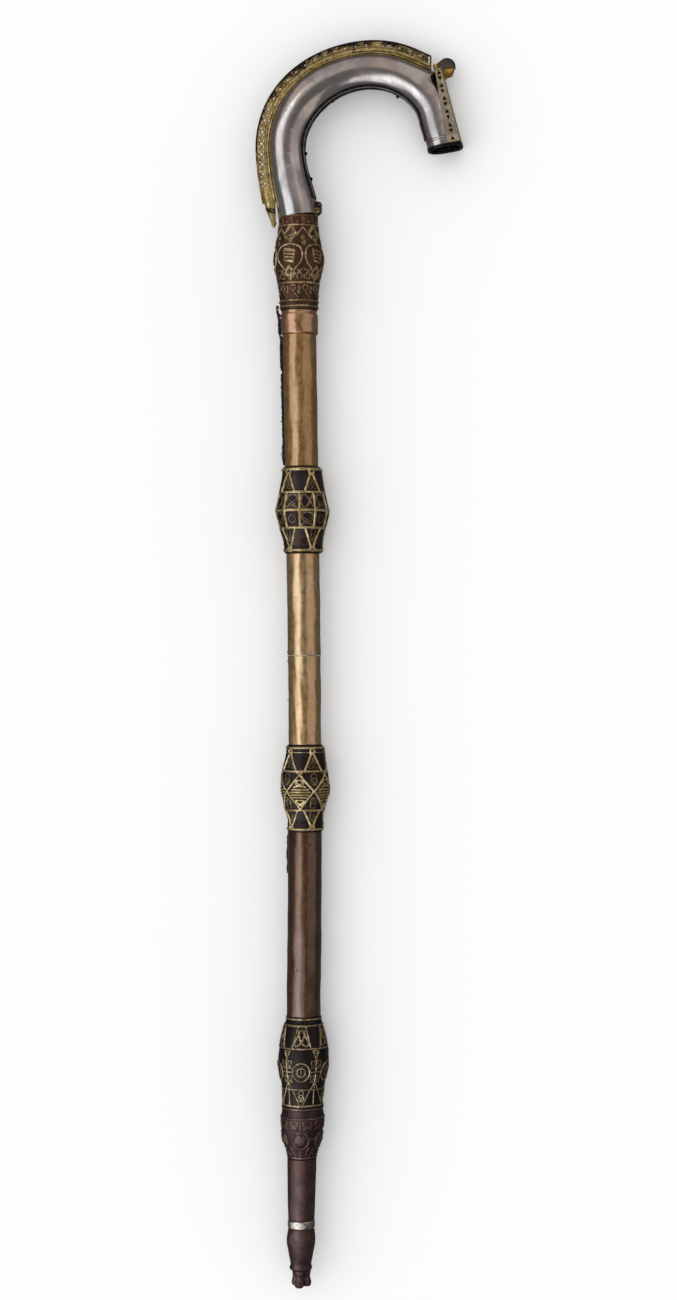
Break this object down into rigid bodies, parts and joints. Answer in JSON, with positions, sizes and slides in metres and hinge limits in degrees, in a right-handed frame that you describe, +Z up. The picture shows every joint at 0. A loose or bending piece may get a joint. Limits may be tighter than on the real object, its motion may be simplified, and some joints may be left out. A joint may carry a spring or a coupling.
{
  "type": "bishop crosier",
  "caption": "Medieval bishop's crosier: metal-cased staff with bulging cast knops, an openwork-crested hooked crook ending in a hollow drop, and a clawed foot, lying on its side.",
  "frame": {"origin": "on the surface the staff lies on, below the middle of the whole", "axes": "+Y runs along the staff from its foot to its crook, +X towards the drop, +Z up out of the crook's plane"},
  "size_m": [0.2236, 1.327, 0.0581],
  "materials": {
    "silver": "old rubbed silver sheet with grey tarnish and small dents",
    "gilt": "worn gilding over cast bronze, dark in the hollows",
    "brass_sheet": "smooth golden-brown bronze sheet with stains",
    "brown_bronze": "red-brown patinated bronze",
    "dark_bronze": "dark cast bronze with raised gilt ribs",
    "black_bronze": "blackened metal edging",
    "dark_glass": "dark polished stud"
  },
  "bodies": {
    "root": {"crook_casing": "silver", "crest": "gilt", "drop_frame": "brown_bronze", "drop_rim": "black_bronze", "drop_head": "dark_bronze", "inner_strip": "black_bronze", "base_mount": "gilt", "base_stud": "dark_glass", "upper_knop": "brown_bronze", "shaft_collar": "brass_sheet", "upper_tube": "brass_sheet", "upper_seam_strip": "black_bronze", "second_knop": "dark_bronze", "middle_tube_upper": "brass_sheet", "middle_tube_lower": "brass_sheet", "third_knop": "dark_bronze", "lower_tube": "brown_bronze", "lower_seam_strip": "black_bronze", "fourth_knop": "dark_bronze", "ferrule_knop": "brown_bronze", "ferrule_tube": "brown_bronze", "ferrule_ring": "silver", "ferrule_foot": "brown_bronze"}
  },
  "joints": []
}
